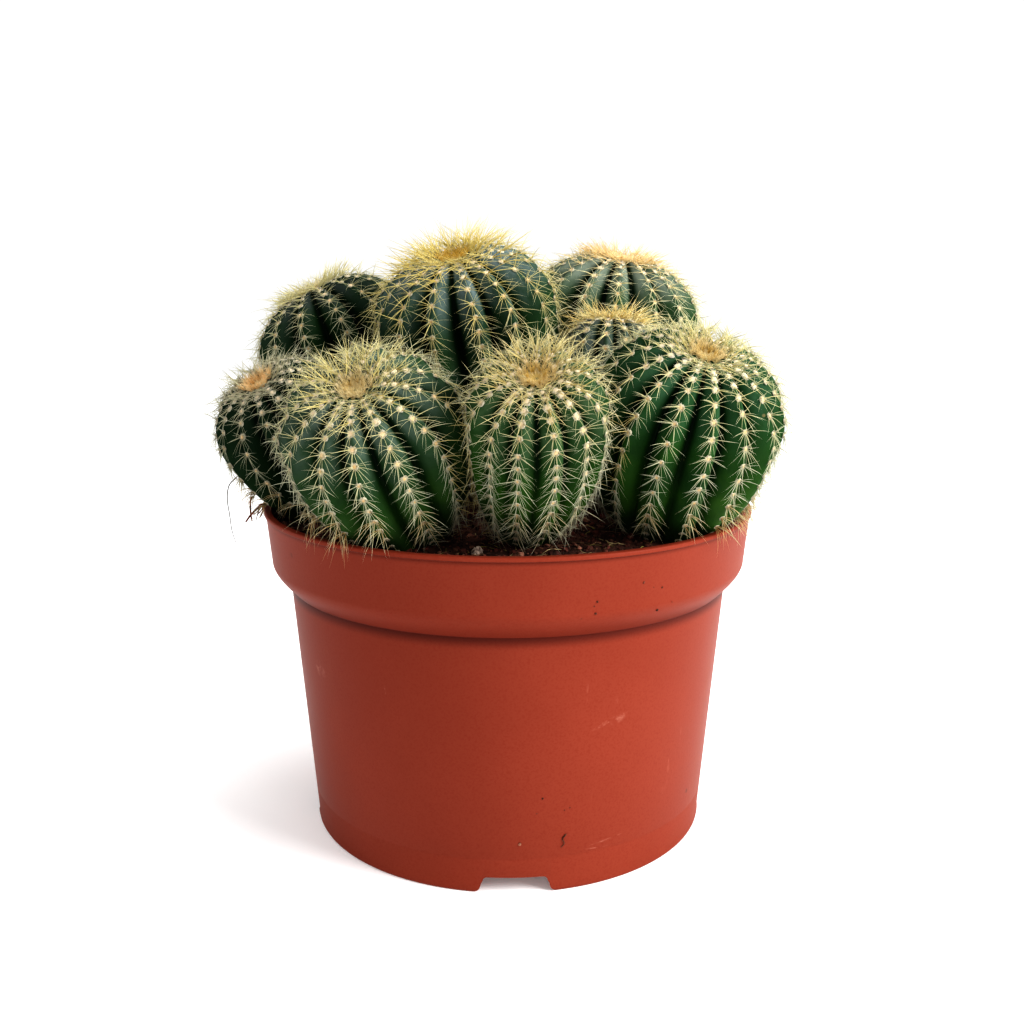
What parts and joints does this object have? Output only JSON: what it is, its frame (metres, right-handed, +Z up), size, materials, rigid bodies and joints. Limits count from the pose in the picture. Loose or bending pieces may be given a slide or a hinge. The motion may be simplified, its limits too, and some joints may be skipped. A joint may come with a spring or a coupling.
{
  "type": "potted clump of round cacti",
  "caption": "Clump of round, ribbed, golden-spined cactus heads growing in dark soil in a clay-coloured moulded pot with a collar rim and notched foot.",
  "frame": {"origin": "middle of the pot's flat underside, on the surface it stands on", "axes": "+Z up along the pot's axis, -Y towards the front of the picture, +X to its right"},
  "size_m": [0.1987, 0.1894, 0.2122],
  "materials": {
    "pot": "satin moulded clay-red plastic with light scuffs",
    "soil": "dark, rough, fibrous potting soil with grit",
    "cactus": "waxy green skin with a blue-grey bloom, cream wool cushions and straw-yellow spines"
  },
  "bodies": {
    "root": {"pot": "pot", "soil": "soil", "head_centre": "cactus", "head_front": "cactus", "head_front_left": "cactus", "head_front_right": "cactus", "head_left": "cactus", "head_back_left": "cactus", "head_back_right": "cactus", "head_right": "cactus"}
  },
  "joints": []
}
